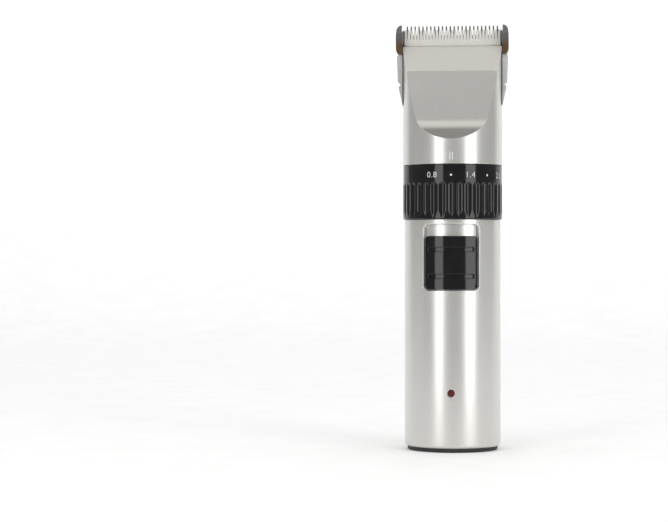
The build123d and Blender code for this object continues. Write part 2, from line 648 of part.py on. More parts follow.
# ---------------------------------------------------------------- head
def head_shell():
    top = BLADE_Z + 2
    outer = rod(HEAD_R, HEAD_LOW, top) - scoop(0)
    inner = rod(HEAD_BORE_R, HEAD_LOW - 1, top) - scoop(HEAD_WALL)
    outer -= on_blade(block((-FAR, FAR), (-FAR, FAR), (-FAR, -COMB_T)))
    inner -= on_blade(block((-FAR, FAR), (-FAR, FAR), (-FAR, HEAD_WALL - COMB_T)))
    shell = outer - inner
    shell -= on_blade(block((-FAR, FAR), (-BLOCK_TAIL - 0.25, FAR), (-FAR, POCKET)))
    shoulder = tube(HEAD_BORE_R + 0.1, 11.5, BRACKET_TOP + SEAT, SHOULDER_TOP)
    shoulder -= block((-YOKE_ARM_X[1] - 1.3, YOKE_ARM_X[1] + 1.3), (5, HEAD_R), (0, top))
    shoulder -= scoop(HEAD_WALL / 2)
    shell += shoulder
    shell -= both(rod(SCREW_R + SLIDE, 0, SHOULDER_TOP + 1, SCREW_X, SCREW_Y))
    slot = block((HEAD_BORE_R - 1, HEAD_R + 1), (-RAIL_TONGUE - 0.05, RAIL_TONGUE + 0.05),
                 (RAIL_LOW + 6 - 0.05, RAIL_HIGH - 6 + 0.05))
    return shell - both(slot)


def side_rail(side):
    """Guide rail for the clip-on combs, with a snap notch, set into the head's side."""
    inner = HEAD_R + 0.05
    notch = RAIL_LOW + 7.4
    outline = [(inner, RAIL_LOW), (inner + 1.6, notch), (inner + 1.6, notch + 0.4),
               (inner + 0.9, notch + 0.7), (inner + 0.9, notch + 1.6), (inner + 1.9, notch + 2.2),
               (inner + 2.3, RAIL_HIGH - 1.0), (inner + 2.0, RAIL_HIGH), (inner, RAIL_HIGH)]
    face = make_face(Plane.XZ * Polyline(*outline, close=True))
    rail = extrude(face, RAIL_HALF, both=True)
    rail -= on_blade(block((-FAR, FAR), (-FAR, FAR), (-FAR, POCKET + SEAT)))
    rail += block((HEAD_BORE_R + 0.1, inner + 0.1), (-RAIL_TONGUE, RAIL_TONGUE),
                  (RAIL_LOW + 6, RAIL_HIGH - 6))
    return rail if side > 0 else mirror(rail, Plane.YZ)


# ---------------------------------------------------------------- blade block
def ear_outline():
    """Ear seen from the side, as (y, z): its rear edge lies in the comb's skin face."""
    low = BLADE_Z - EAR_LOW
    high = BLADE_Z + EAR_HIGH
    rear_low = EAR_LOW * tan(TILT) + COMB_T / cos(TILT)
    rear_high = -EAR_HIGH * tan(TILT) + COMB_T / cos(TILT)
    return [(-5.6, low), (rear_low, low), (rear_high, high), (rear_high - 2.4, high), (-7.4, high - 3.4)]


def ear():
    face = make_face(Plane.YZ * Polyline(*ear_outline(), close=True))
    slab = Pos(EAR_INNER, 0, 0) * extrude(face, EAR_OUTER - EAR_INNER)
    top = slab.edges().filter_by(Axis.Y).group_by(Axis.Z)[-1].sort_by(Axis.X)[-1]
    return fillet(top, 1.9)


def blade_frame():
    depth = (-COMB_T, POCKET - 0.05)
    layer = rod(HEAD_R, BLADE_Z - FAR, BLADE_Z + FAR)
    layer &= on_blade(block((-FAR, FAR), (-BLOCK_TAIL, CHEEK_TOP), depth))
    window = block((-CHEEK_IN, CHEEK_IN), (-CUTTER_TAIL - RETREAT - 1.9, FAR), (-1, FAR))
    layer -= on_blade(window)
    seat = block((-HEAD_BORE_R - 0.1, HEAD_BORE_R + 0.1), (-COMB_TAIL - 0.05, FAR), (-FAR, 0))
    layer -= on_blade(seat)
    link = block((HEAD_BORE_R + 0.1, EAR_INNER + 0.3), (CHEEK_TOP - 1.7, CHEEK_TOP), depth)
    skirt = block(SKIRT_X, SKIRT_U, (POCKET - 0.1, SKIRT_M))
    groove = block((SKIRT_X[0] - 1, SKIRT_X[0] + 0.8),
                   (SPRING_U[0] - RETREAT - 0.3, SPRING_U[1] + ADVANCE + 0.3),
                   (SPRING_M[0] - 0.2, SPRING_M[1] + 0.2))
    frame = layer + both(ear() + on_blade(link) + on_blade(skirt - groove))
    hole = on_blade(Pos(COMB_SCREW[0], COMB_SCREW[1], 2.0) * Cylinder(COMB_SCREW_R + RUN, 8))
    return frame - both(hole)


def teeth_slots(count, pitch, gap, root, tip, depth):
    """Wedge slots between the teeth: count + 1 slots on a pitch."""
    slots = []
    for i in range(count + 1):
        x = (i - count / 2) * pitch
        face = make_face(Polyline((x - gap / 2, root), (x + gap / 2, root), (x + pitch * 0.33, tip + 1),
                                  (x - pitch * 0.33, tip + 1), close=True))
        slots.append(Pos(0, 0, -depth) * extrude(face, 2 * depth))
    return slots


def comb_blade():
    """Fixed comb: flat plate whose long teeth thin out towards their tips."""
    wide = block((-COMB_HALF, COMB_HALF), (CHEEK_TOP + 0.4, COMB_TIP), (-COMB_T, 0))
    tail = block((-HEAD_BORE_R, HEAD_BORE_R), (-COMB_TAIL, CHEEK_TOP + 0.5), (-COMB_T, 0))
    plate = wide + tail
    corners = [(x, COMB_TIP) for x in (-COMB_HALF, COMB_HALF)]
    for x, u in corners:
        plate -= Pos(x, u, 0) * Rot(0, 0, 45) * Box(3.6, 3.6, 4)
    skin = [(COMB_TIP - 5.5, -COMB_T), (COMB_TIP + 1, -COMB_T), (COMB_TIP + 1, -0.3), (COMB_TIP, -0.45)]
    bevel = extrude(make_face(Plane.YZ * Polyline(*skin, close=True)), 30, both=True)
    plate -= bevel
    plate -= teeth_slots(COMB_TEETH, COMB_PITCH, COMB_GAP, COMB_TIP - COMB_SLOT, COMB_TIP, 3)
    for x in (-COMB_SCREW[0], COMB_SCREW[0]):
        plate -= Pos(x, COMB_SCREW[1], 0) * Cylinder(COMB_SCREW_R + SLIDE, 6)
        plate -= Pos(x, COMB_SCREW[1], -COMB_T) * Cylinder(1.5, 1.4)
    return on_blade(plate)


def comb_screws():
    length = 4.6
    body = Pos(0, 0, -COMB_T + 0.35 + 0.1) * Cylinder(1.4, 0.5)
    body += Pos(0, 0, -COMB_T + 0.4 + length / 2) * Cylinder(COMB_SCREW_R, length)
    body -= Pos(0, 0, -COMB_T + 0.1) * Box(1.8, 0.4, 0.6)
    return [on_blade(Pos(x, COMB_SCREW[1], 0) * body) for x in (-COMB_SCREW[0], COMB_SCREW[0])]


def finger_window(half):
    """Opening for the lever's finger, long enough for every cutting length."""
    low = FINGER_U - 1.2 - ADVANCE - 0.25
    high = FINGER_U + 1.2 + RETREAT + 0.25
    return block((-half, half), (low, high), (-5, 10))


def cutter_blade():
    low = 0.05
    plate = block((-CUTTER_HALF, CUTTER_HALF), (-1.0, CUTTER_TIP), (low, low + CUTTER_T))
    plate += block((-CUTTER_TONGUE, CUTTER_TONGUE), (-CUTTER_TAIL, -0.9), (low, low + CUTTER_T))
    bevel = [(CUTTER_TIP - 3.5, low + CUTTER_T), (CUTTER_TIP + 1, low + CUTTER_T),
             (CUTTER_TIP + 1, low + 0.45), (CUTTER_TIP, low + 0.55)]
    plate -= extrude(make_face(Plane.YZ * Polyline(*bevel, close=True)), 30, both=True)
    plate -= teeth_slots(CUTTER_TEETH, CUTTER_PITCH, CUTTER_GAP, CUTTER_TIP - CUTTER_SLOT, CUTTER_TIP, 3)
    return on_blade(plate - finger_window(FINGER_HALF + SLIDE))


def cutter_guide():
    """Holder that presses the cutter on the comb and sets its place along the blade."""
    body = block((-CUTTER_TONGUE, CUTTER_TONGUE), (GUIDE_TAIL, GUIDE_TOP), GUIDE_M)
    body -= finger_window(FINGER_HALF + STROKE + 0.3)
    peg = block((YOKE_ARM_X[0] - 0.3, YOKE_ARM_X[1] + 0.3), (PEG_U[0] - SLIDE, PEG_U[1] + SLIDE), (-5, 10))
    return on_blade(body - both(peg))


def pressure_springs():
    """Leaf at each end of the holder, hooked into the frame's groove."""
    leaf = block((CUTTER_TONGUE - 2.4, SKIRT_X[0] + 0.5), SPRING_U, SPRING_M)
    return [on_blade(leaf), on_blade(mirror(leaf, Plane.YZ))]


# ---------------------------------------------------------------- all pieces
def pieces():
    return {
        "barrel_shell": barrel_shell(),
        "base_cap": base_cap(),
        "cap_screws": cap_screws(),
        "chassis": chassis(),
        "detent_spring": detent_spring(),
        "dial_ring": dial_ring(),
        "switch_floor": switch_floor(),
        "switch_button": switch_button(),
        "switch_slider": switch_slider(),
        "switch_base": switch_base(),
        "switch_contacts": switch_contacts(),
        "circuit_board": circuit_board(),
        "charge_socket": charge_socket(),
        "indicator_led": indicator_led(),
        "indicator_lens": indicator_lens(),
        "cell_left": cell(-1),
        "cell_right": cell(1),
        "cell_contact_low": cell_contact_low(),
        "cell_contacts_top": cell_contacts_top(),
        "motor_can": motor_can(),
        "motor_end_cap": motor_end_cap(),
        "motor_bush_front": motor_bush(MOTOR_TOP - 1.2, MOTOR_TOP + 1.5),
        "motor_bush_rear": motor_bush(MOTOR_CAP_LOW + 0.5, MOTOR_LOW),
        "motor_magnet_left": motor_magnet(-1),
        "motor_magnet_right": motor_magnet(1),
        "motor_brushes": motor_brushes(),
        "motor_screws": motor_screws(),
        "rotor_core": rotor_core(),
        "rotor_shaft": rotor_shaft(),
        "commutator": commutator(),
        "eccentric": eccentric(),
        "drive_lever": drive_lever(),
        "lever_pin": lever_pin(),
        "drive_bracket": drive_bracket(),
        "head_screws": head_screws(),
        "length_yoke": length_yoke(),
        "head_shell": head_shell(),
        "side_rail_left": side_rail(-1),
        "side_rail_right": side_rail(1),
        "blade_frame": blade_frame(),
        "comb_blade": comb_blade(),
        "comb_screws": comb_screws(),
        "cutter_blade": cutter_blade(),
        "cutter_guide": cutter_guide(),
        "pressure_springs": pressure_springs(),
    }


os.makedirs("parts", exist_ok=True)
for name, shape in pieces().items():
    solid = Compound(children=shape) if isinstance(shape, list) else shape
    export_step(solid, f"parts/{name}.step")
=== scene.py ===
"""Looks of the beard trimmer: casings, dial, switch, blades, light and camera."""
import bmesh
import bpy
import json
from math import acos, asin, cos, pi, radians, sin, sqrt, tan
from mathutils import Matrix, Vector


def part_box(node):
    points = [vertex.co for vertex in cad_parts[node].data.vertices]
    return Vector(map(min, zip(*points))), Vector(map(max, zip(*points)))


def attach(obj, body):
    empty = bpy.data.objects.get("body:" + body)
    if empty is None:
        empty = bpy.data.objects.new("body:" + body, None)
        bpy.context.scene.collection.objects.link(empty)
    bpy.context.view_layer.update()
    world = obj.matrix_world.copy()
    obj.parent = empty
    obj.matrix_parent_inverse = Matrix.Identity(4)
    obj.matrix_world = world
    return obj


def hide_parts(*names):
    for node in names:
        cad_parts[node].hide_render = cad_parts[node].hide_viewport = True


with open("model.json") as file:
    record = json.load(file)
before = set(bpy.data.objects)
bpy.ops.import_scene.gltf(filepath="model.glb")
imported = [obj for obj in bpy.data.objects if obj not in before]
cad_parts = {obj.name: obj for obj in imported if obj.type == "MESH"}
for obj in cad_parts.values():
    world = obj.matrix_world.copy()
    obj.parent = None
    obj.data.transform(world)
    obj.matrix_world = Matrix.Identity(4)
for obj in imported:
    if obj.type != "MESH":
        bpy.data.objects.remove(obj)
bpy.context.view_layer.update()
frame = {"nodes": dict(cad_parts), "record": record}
MM = 0.001

# ---------------------------------------------------------------- sizes read from the frame
BARREL_LOW, BARREL_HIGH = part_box("barrel_shell")
RING_LOW, RING_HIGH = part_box("dial_ring")
HEAD_LOW, HEAD_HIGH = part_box("head_shell")
BUTTON_LOW, BUTTON_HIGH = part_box("switch_button")
FLOOR_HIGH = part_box("switch_floor")[1]
LENS_LOW, LENS_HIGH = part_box("indicator_lens")
FRAME_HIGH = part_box("blade_frame")[1]
BARREL_R = BARREL_HIGH.x
RING_R = RING_HIGH.x
HEAD_R = HEAD_HIGH.y


# ---------------------------------------------------------------- finishes
def new_finish(name):
    """Empty finish with one glossy-to-matt shader; gives back the material, its nodes, its links and the shader."""
    mat = bpy.data.materials.new(name)
    mat.use_nodes = True
    nodes, links = mat.node_tree.nodes, mat.node_tree.links
    return mat, nodes, links, nodes["Principled BSDF"]


def grain(nodes, links, scale, detail=3.0, stretch=(1, 1, 1)):
    """Noise in the piece's own space, stretched along an axis for brushed or rolled surfaces."""
    place = nodes.new("ShaderNodeTexCoord")
    turn = nodes.new("ShaderNodeMapping")
    turn.inputs["Scale"].default_value = stretch
    noise = nodes.new("ShaderNodeTexNoise")
    noise.inputs["Scale"].default_value = scale
    noise.inputs["Detail"].default_value = detail
    links.new(place.outputs["Object"], turn.inputs["Vector"])
    links.new(turn.outputs["Vector"], noise.inputs["Vector"])
    return noise.outputs["Fac"]


def ramp(nodes, links, value, low, high, start=0.35, end=0.65):
    """Colour ramp from low to high, driven by a value."""
    band = nodes.new("ShaderNodeValToRGB")
    band.color_ramp.elements[0].position = start
    band.color_ramp.elements[1].position = end
    band.color_ramp.elements[0].color = (*low, 1)
    band.color_ramp.elements[1].color = (*high, 1)
    links.new(value, band.inputs["Fac"])
    return band.outputs["Color"]


def spread(nodes, links, value, low, high):
    """Value remapped from 0..1 to low..high."""
    change = nodes.new("ShaderNodeMapRange")
    change.inputs["To Min"].default_value = low
    change.inputs["To Max"].default_value = high
    links.new(value, change.inputs["Value"])
    return change.outputs["Result"]


def relief(nodes, links, shader, height, strength, distance):
    """Bump on the shader's normal."""
    bump = nodes.new("ShaderNodeBump")
    bump.inputs["Strength"].default_value = strength
    bump.inputs["Distance"].default_value = distance
    links.new(height, bump.inputs["Height"])
    links.new(bump.outputs["Normal"], shader.inputs["Normal"])


def finish_of(name, low, high, rough, metal=0.0, scale=400.0, bump=0.05, depth=0.00002, stretch=(1, 1, 1), coat=0.0):
    """Finish whose colour, roughness and relief all carry the same grain."""
    mat, nodes, links, shader = new_finish(name)
    shader.inputs["Metallic"].default_value = metal
    shader.inputs["Coat Weight"].default_value = coat
    shader.inputs["Coat Roughness"].default_value = 0.08
    fac = grain(nodes, links, scale, 3.0, stretch)
    links.new(ramp(nodes, links, fac, low, high), shader.inputs["Base Color"])
    links.new(spread(nodes, links, fac, rough[0], rough[1]), shader.inputs["Roughness"])
    relief(nodes, links, shader, fac, bump, depth)
    return mat


def silver_lacquer():
    """Satin silver lacquer: fine bright flakes under a thin clear coat."""
    mat, nodes, links, shader = new_finish("silver_lacquer")
    shader.inputs["Metallic"].default_value = 0.82
    shader.inputs["Coat Weight"].default_value = 0.25
    shader.inputs["Coat Roughness"].default_value = 0.16
    place = nodes.new("ShaderNodeTexCoord")
    flakes = nodes.new("ShaderNodeTexVoronoi")
    flakes.inputs["Scale"].default_value = 5200
    links.new(place.outputs["Object"], flakes.inputs["Vector"])
    tone = ramp(nodes, links, flakes.outputs["Distance"], (0.60, 0.594, 0.570), (0.70, 0.692, 0.665), 0.1, 0.8)
    links.new(tone, shader.inputs["Base Color"])
    cloud = grain(nodes, links, 90, 4.0)
    links.new(spread(nodes, links, cloud, 0.27, 0.33), shader.inputs["Roughness"])
    relief(nodes, links, shader, flakes.outputs["Distance"], 0.035, 0.00003)
    return mat


SILVER = silver_lacquer()
BLACK_GLOSS = finish_of("black_gloss", (0.002, 0.002, 0.0019), (0.004, 0.004, 0.0038), (0.07, 0.12),
                        scale=260, bump=0.02, depth=0.00001)
BLACK_MATT = finish_of("black_matt", (0.012, 0.012, 0.012), (0.022, 0.022, 0.022), (0.48, 0.62), scale=1500, bump=0.25,
                       depth=0.00004)
GREY_SATIN = finish_of("grey_satin", (0.33, 0.33, 0.315), (0.38, 0.38, 0.365), (0.34, 0.42), scale=1200, bump=0.1)
WHITE_PLASTIC = finish_of("white_plastic", (0.74, 0.74, 0.70), (0.80, 0.80, 0.77), (0.38, 0.48), scale=900, bump=0.08)
CERAMIC = finish_of("ground_ceramic", (0.46, 0.445, 0.415), (0.52, 0.505, 0.475), (0.30, 0.40), scale=700, bump=0.08,
                    stretch=(1, 6, 6))
COMB_STEEL = finish_of("ground_steel", (0.11, 0.108, 0.105), (0.19, 0.187, 0.18), (0.24, 0.36), metal=1.0, scale=600,
                       bump=0.10, stretch=(1, 14, 14))
SCREW_STEEL = finish_of("bright_steel", (0.50, 0.50, 0.49), (0.62, 0.62, 0.60), (0.22, 0.32), metal=1.0, scale=900)
SPRING_STEEL = finish_of("rolled_steel", (0.46, 0.44, 0.40), (0.60, 0.58, 0.54), (0.28, 0.4), metal=1.0, scale=500,
                         stretch=(1, 1, 9))
MOTOR_STEEL = finish_of("plated_steel", (0.50, 0.50, 0.47), (0.64, 0.64, 0.61), (0.25, 0.42), metal=1.0, scale=350)
MAGNET = finish_of("sintered_magnet", (0.05, 0.05, 0.055), (0.09, 0.09, 0.095), (0.6, 0.75), scale=1800, bump=0.3)
BRONZE = finish_of("bronze", (0.55, 0.32, 0.14), (0.68, 0.42, 0.2), (0.28, 0.4), metal=1.0, scale=800)
BOARD = finish_of("circuit_board", (0.015, 0.13, 0.05), (0.03, 0.2, 0.08), (0.25, 0.35), scale=300)
CELL_WRAP = finish_of("cell_sleeve", (0.03, 0.14, 0.22), (0.05, 0.2, 0.3), (0.2, 0.3), scale=200)
RED_LENS = finish_of("red_lens", (0.06, 0.004, 0.005), (0.10, 0.008, 0.01), (0.08, 0.14), scale=500, bump=0.02,
                     coat=0.6)
PRINT_WHITE = finish_of("white_print", (0.52, 0.52, 0.51), (0.60, 0.60, 0.59), (0.45, 0.55), scale=2500, bump=0.05)


def smoked_gloss_painted_reflection():
    """Polished smoked plastic, near black at the top; the brown lower down is a painted warm reflection, not the
    plastic's own colour.
    """
    mat, nodes, links, shader = new_finish("smoked_gloss_painted_reflection")
    shader.inputs["Coat Weight"].default_value = 0.5
    shader.inputs["Coat Roughness"].default_value = 0.06
    place = nodes.new("ShaderNodeTexCoord")
    parts = nodes.new("ShaderNodeSeparateXYZ")
    links.new(place.outputs["Object"], parts.inputs["Vector"])
    # height mask for the painted reflection, from low on the ears to near their tops
    height = nodes.new("ShaderNodeMapRange")
    height.inputs["From Min"].default_value = FRAME_HIGH.z - 11.6 * MM
    height.inputs["From Max"].default_value = FRAME_HIGH.z - 3.0 * MM
    links.new(parts.outputs["Z"], height.inputs["Value"])
    # painted warm reflection: brown lower down, dark grey at the top
    tone = ramp(nodes, links, height.outputs["Result"], (0.070, 0.036, 0.010), (0.070, 0.070, 0.067), 0.35, 0.75)
    links.new(tone, shader.inputs["Base Color"])
    fac = grain(nodes, links, 300)
    links.new(spread(nodes, links, fac, 0.12, 0.2), shader.inputs["Roughness"])
    relief(nodes, links, shader, fac, 0.02, 0.00001)
    return mat


SMOKED_PAINTED_REFLECTION = smoked_gloss_painted_reflection()

FINISH_BY_SLOT = {
    "silver_paint": SILVER, "black_gloss": BLACK_GLOSS, "smoke_gloss": SMOKED_PAINTED_REFLECTION, "black_matte": BLACK_MATT,
    "grey_plastic": GREY_SATIN, "white_plastic": WHITE_PLASTIC, "comb_steel": COMB_STEEL,
    "cutter_ceramic": CERAMIC, "screw_steel": SCREW_STEEL, "spring_steel": SPRING_STEEL,
    "motor_steel": MOTOR_STEEL, "magnet": MAGNET, "bronze": BRONZE, "board": BOARD, "cell_wrap": CELL_WRAP,
    "lens_red": RED_LENS,
}


def dress_cad_nodes():
    """Every node of the frame takes the finish of its slot."""
    for part in frame["record"]["subparts"]:
        mesh = frame["nodes"][part["node"]].data
        mesh.materials.clear()
        mesh.materials.append(FINISH_BY_SLOT[part["material_slot"]])


dress_cad_nodes()


# ---------------------------------------------------------------- mesh helpers
def link(name, mesh):
    """Object at the origin that shows a mesh."""
    piece = bpy.data.objects.new(name, mesh)
    bpy.context.scene.collection.objects.link(piece)
    return piece


def baked(piece):
    """Plain mesh of a piece with its modifiers applied; the modifiers are removed."""
    shown = piece.evaluated_get(bpy.context.evaluated_depsgraph_get())
    mesh = bpy.data.meshes.new_from_object(shown)
    piece.modifiers.clear()
    piece.data = mesh
    return piece


def soft_edges(mesh, angle=32, crisp=None):
    """Smooth faces; edges stay sharp past an angle, and where a test says so."""
    bm = bmesh.new()
    bm.from_mesh(mesh)
    for face in bm.faces:
        face.smooth = True
    for edge in bm.edges:
        turn = edge.calc_face_angle(0) if len(edge.link_faces) == 2 else pi
        edge.smooth = turn < radians(angle) and not (crisp and crisp(edge.verts[0].co, edge.verts[1].co))
    bm.to_mesh(mesh)
    bm.free()


def weigh_normals(piece):
    """Large faces keep their own direction beside small edge rounds."""
    even = piece.modifiers.new("even_faces", "WEIGHTED_NORMAL")
    even.keep_sharp = True
    return baked(piece)


def bevel_edges(piece, width, angle=30, segments=3):
    """Small round on every edge sharper than an angle."""
    edge = piece.modifiers.new("edge_round", "BEVEL")
    edge.width = width
    edge.segments = segments
    edge.limit_method = "ANGLE"
    edge.angle_limit = radians(angle)
    edge.miter_outer = "MITER_ARC"
    edge.harden_normals = False
    return baked(piece)


def settle(piece, body, finish, slot, *nodes):
    """Finish, body and the frame nodes that a piece stands for; the slot argument is not used."""
    piece.data.materials.clear()
    piece.data.materials.append(finish)
    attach(piece, body)
    if nodes:
        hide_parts(*nodes)
    return piece


def join(piece, *others):
    """Adds other objects' meshes to a piece."""
    bm = bmesh.new()
    bm.from_mesh(piece.data)
    for other in others:
        bm.from_mesh(other.data)
        bpy.data.objects.remove(other)
    bm.to_mesh(piece.data)
    bm.free()


def prism(name, outline, low, high):
    """Bar along Y between two values, from an (x, z) outline."""
    count = len(outline)
    verts = [(x, low, z) for x, z in outline] + [(x, high, z) for x, z in outline]
    faces = [tuple(range(count)), tuple(range(2 * count - 1, count - 1, -1))]
    faces += [(i, i + count, (i + 1) % count + count, (i + 1) % count) for i in range(count)]
    mesh = bpy.data.meshes.new(name)
    mesh.from_pydata(verts, [], faces)
    bm = bmesh.new()
    bm.from_mesh(mesh)
    bmesh.ops.recalc_face_normals(bm, faces=bm.faces)
    bm.to_mesh(mesh)
    bm.free()
    return link(name, mesh)


def rounded_outline(half, low, high, radius, steps=8):
    """Rectangle with round corners, as (x, z)."""
    points = []
    corners = ((half - radius, high - radius, 0), (-half + radius, high - radius, 90),
               (-half + radius, low + radius, 180), (half - radius, low + radius, 270))
    for x, z, start in corners:
        for i in range(steps + 1):
            a = radians(start + 90 * i / steps)
            points.append((x + radius * cos(a), z + radius * sin(a)))
    return points


def carve(piece, tools, operation="DIFFERENCE"):
    """Piece with each tool cut out of it; the tools are deleted."""
    for tool in tools:
        cut = piece.modifiers.new("cut", "BOOLEAN")
        cut.operation = operation
        cut.solver = "EXACT"
        cut.object = tool
    baked(piece)
    for tool in tools:
        bpy.data.objects.remove(tool)
    return piece


def round_rims(mesh, wanted, width, segments=3):
    """Round on the edges that a test picks by their two ends."""
    bm = bmesh.new()
    bm.from_mesh(mesh)
    picked = [e for e in bm.edges if wanted(e.verts[0].co, e.verts[1].co)]
    bmesh.ops.bevel(bm, geom=picked, offset=width, segments=segments, profile=0.5, affect="EDGES")
    bm.to_mesh(mesh)
    bm.free()


def wrap(mesh, radius, step, closed=False):
    """Bends a flat slab, drawn at y = -radius, round the trimmer's axis."""
    bm = bmesh.new()
    bm.from_mesh(mesh)
    reach = max(abs(v.co.x) for v in bm.verts)
    if closed:
        ends = [f for f in bm.faces if all(abs(abs(v.co.x) - reach) < 1e-7 for v in f.verts)]
        bmesh.ops.delete(bm, geom=ends, context="FACES")
    count = int(reach / radius / radians(step))
    for i in range(-count, count + 1):
        x = i * radians(step) * radius
        if abs(x) < reach - 1e-6:
            geom = bm.verts[:] + bm.edges[:] + bm.faces[:]
            bmesh.ops.bisect_plane(bm, geom=geom, plane_co=(x, 0, 0), plane_no=(1, 0, 0), dist=1e-7)
    for v in bm.verts:
        r, a = -v.co.y, v.co.x / radius
        v.co = Vector((r * sin(a), -r * cos(a), v.co.z))
    bmesh.ops.remove_doubles(bm, verts=bm.verts, dist=2e-6)
    bm.to_mesh(mesh)
    bm.free()


def arc_of(half, radius):
    """Length along the surface that spans half a width seen from the front."""
    return radius * asin(half / radius)


# ---------------------------------------------------------------- silver casing
WALL = 1.6 * MM
WINDOW_HALF = FLOOR_HIGH.x - 1.5 * MM
WINDOW_LOW = BUTTON_LOW.z - 0.2 * MM
WINDOW_HIGH = FLOOR_HIGH.z - 0.9 * MM
LENS_Z = (LENS_LOW.z + LENS_HIGH.z) / 2


def barrel():
    """Silver barrel, with a fine bevel round the switch window and a rounded foot."""
    half = pi * BARREL_R
    slab = prism("barrel", [(-half, BARREL_LOW.z), (half, BARREL_LOW.z), (half, BARREL_HIGH.z),
                            (-half, BARREL_HIGH.z)], -BARREL_R, -BARREL_R + WALL)
    reach = arc_of(WINDOW_HALF, BARREL_R)
    window = prism("window", rounded_outline(reach, WINDOW_LOW, WINDOW_HIGH, 2.1 * MM, 10),
                   -BARREL_R - MM, -BARREL_R + WALL + MM)
    ring = [(1.5 * MM * cos(2 * pi * i / 32), LENS_Z + 1.5 * MM * sin(2 * pi * i / 32)) for i in range(32)]
    lens_hole = prism("lens_hole", ring, -BARREL_R - MM, -BARREL_R + WALL + MM)
    carve(slab, [window, lens_hole])
    front = -BARREL_R + 1e-6

    def foot(a, b):
        return a.y < front and b.y < front and max(a.z, b.z) < BARREL_LOW.z + 1e-6

    def opening(a, b):
        inside = max(abs(a.x), abs(b.x)) < reach + 1e-6 and min(a.z, b.z) > LENS_Z - 2 * MM
        return a.y < front and b.y < front and inside and max(a.z, b.z) < BARREL_HIGH.z - 1e-6

    def top(a, b):
        return a.y < front and b.y < front and min(a.z, b.z) > BARREL_HIGH.z - 1e-6

    round_rims(slab.data, foot, 1.3 * MM, 6)
    round_rims(slab.data, opening, 0.38 * MM, 3)
    round_rims(slab.data, top, 0.2 * MM, 2)
    wrap(slab.data, BARREL_R, 3, closed=True)
    soft_edges(slab.data)
    weigh_normals(slab)
    settle(slab, "casing", SILVER, "silver_paint", "barrel_shell")


def button():
    """Glossy switch block with two sunk grooves and rounded edges."""
    face_r = -BUTTON_LOW.y
    half = arc_of(BUTTON_HIGH.x, face_r)
    back = -BARREL_R + 1.45 * MM
    slab = prism("button", rounded_outline(half, BUTTON_LOW.z, BUTTON_HIGH.z, 1.35 * MM, 8), -face_r, back)
    tall = BUTTON_HIGH.z - BUTTON_LOW.z
    grooves = []
    for share in (0.25, 0.75):
        z = BUTTON_LOW.z + share * tall
        grooves.append(prism("groove", rounded_outline(9.4 * MM, z - 0.8 * MM, z + 0.8 * MM, 0.5 * MM, 5),
                             -face_r - MM, -face_r + 0.75 * MM))
    carve(slab, grooves)
    round_rims(slab.data, lambda a, b: max(a.y, b.y) < -face_r + 1e-6, 0.3 * MM, 4)
    wrap(slab.data, face_r, 2)
    soft_edges(slab.data)
    weigh_normals(slab)
    low, high = (BUTTON_LOW.z + tall / 2 + side * 1.95 * MM for side in (-1, 1))
    stem = [(-2 * MM, low), (2 * MM, low), (2 * MM, high), (-2 * MM, high)]
    join(slab, prism("stem", stem, back - 0.2 * MM, BUTTON_HIGH.y))
    settle(slab, "switch", BLACK_GLOSS, "black_gloss", "switch_button")


# ---------------------------------------------------------------- head
TILT = radians(30)
BLADE_Z = HEAD_LOW.z + 48.7 * MM
COMB_T = 1.2 * MM
POCKET = 1.8 * MM
BLOCK_TAIL = 20.25 * MM
SCOOP_Z = HEAD_LOW.z + 9.9 * MM
CREASE = (-8.2 * MM, HEAD_LOW.z + 38 * MM)
FACET_TOP = (-POCKET / cos(TILT) - 0.05 * MM, BLADE_Z)


def along(u, m):
    """(y, z) of a point a distance along the blade and a depth below the comb's inner face."""
    return -u * sin(TILT) - m * cos(TILT), BLADE_Z + u * cos(TILT) - m * sin(TILT)


def scoop_curve():
    """Front scoop from its lowest point to the blade, as (y, z), with a round between ledge and facet."""
    ledge = Vector((sin(radians(42)), cos(radians(42))))
    facet = Vector((sin(radians(17)), cos(radians(17))))
    start = Vector((-HEAD_R, SCOOP_Z))
    crease = Vector(CREASE)
    cross = ledge.x * facet.y - ledge.y * facet.x
    gap = crease - start
    corner = start + ledge * ((gap.x * facet.y - gap.y * facet.x) / cross)
    bend = radians(25)
    radius = 13 * MM
    run = radius * tan(bend / 2)
    first = corner - ledge * run
    centre = first + Vector((-ledge.y, ledge.x)) * radius
    points = [start + (first - start) * i / 10 for i in range(10)]
    for i in range(13):
        a = radians(-42) + bend * i / 12
        points.append(centre + Vector((cos(a), sin(a))) * radius)
    last = points[-1]
    points += [last + (crease - last) * i / 12 for i in range(1, 13)]
    rim = Vector(FACET_TOP)
    top = rim + (crease - rim).normalized() * 0.5 * MM
    points += [crease + (top - crease) * i / 8 for i in range(1, 9)]
    points += [rim + Vector((-0.02 * MM, -0.22 * MM)), rim + Vector((0.3 * MM, -0.1 * MM))]
    return points


def head_edge():
    """Upper edge of the head's round skin, front to back, as (y, z)."""
    front = scoop_curve()
    seat_end = Vector(along(-BLOCK_TAIL, POCKET))
    slope_top = Vector(along(-BLOCK_TAIL, -COMB_T))
    slope_low = Vector((HEAD_R, BLADE_Z + 2 * COMB_T - HEAD_R / tan(TILT)))
    seat = [front[-1] + (seat_end - front[-1]) * i / 14 for i in range(1, 15)]
    step = [seat_end + (slope_top - seat_end) * i / 3 for i in range(1, 4)]
    back = []
    for i in range(1, 17):
        y = slope_top.x + (HEAD_R - slope_top.x) * sin(pi / 2 * i / 16)
        back.append(Vector((y, slope_top.y + (slope_low.y - slope_top.y) * (y - slope_top.x) / (HEAD_R - slope_top.x))))
    return front, seat + step, back


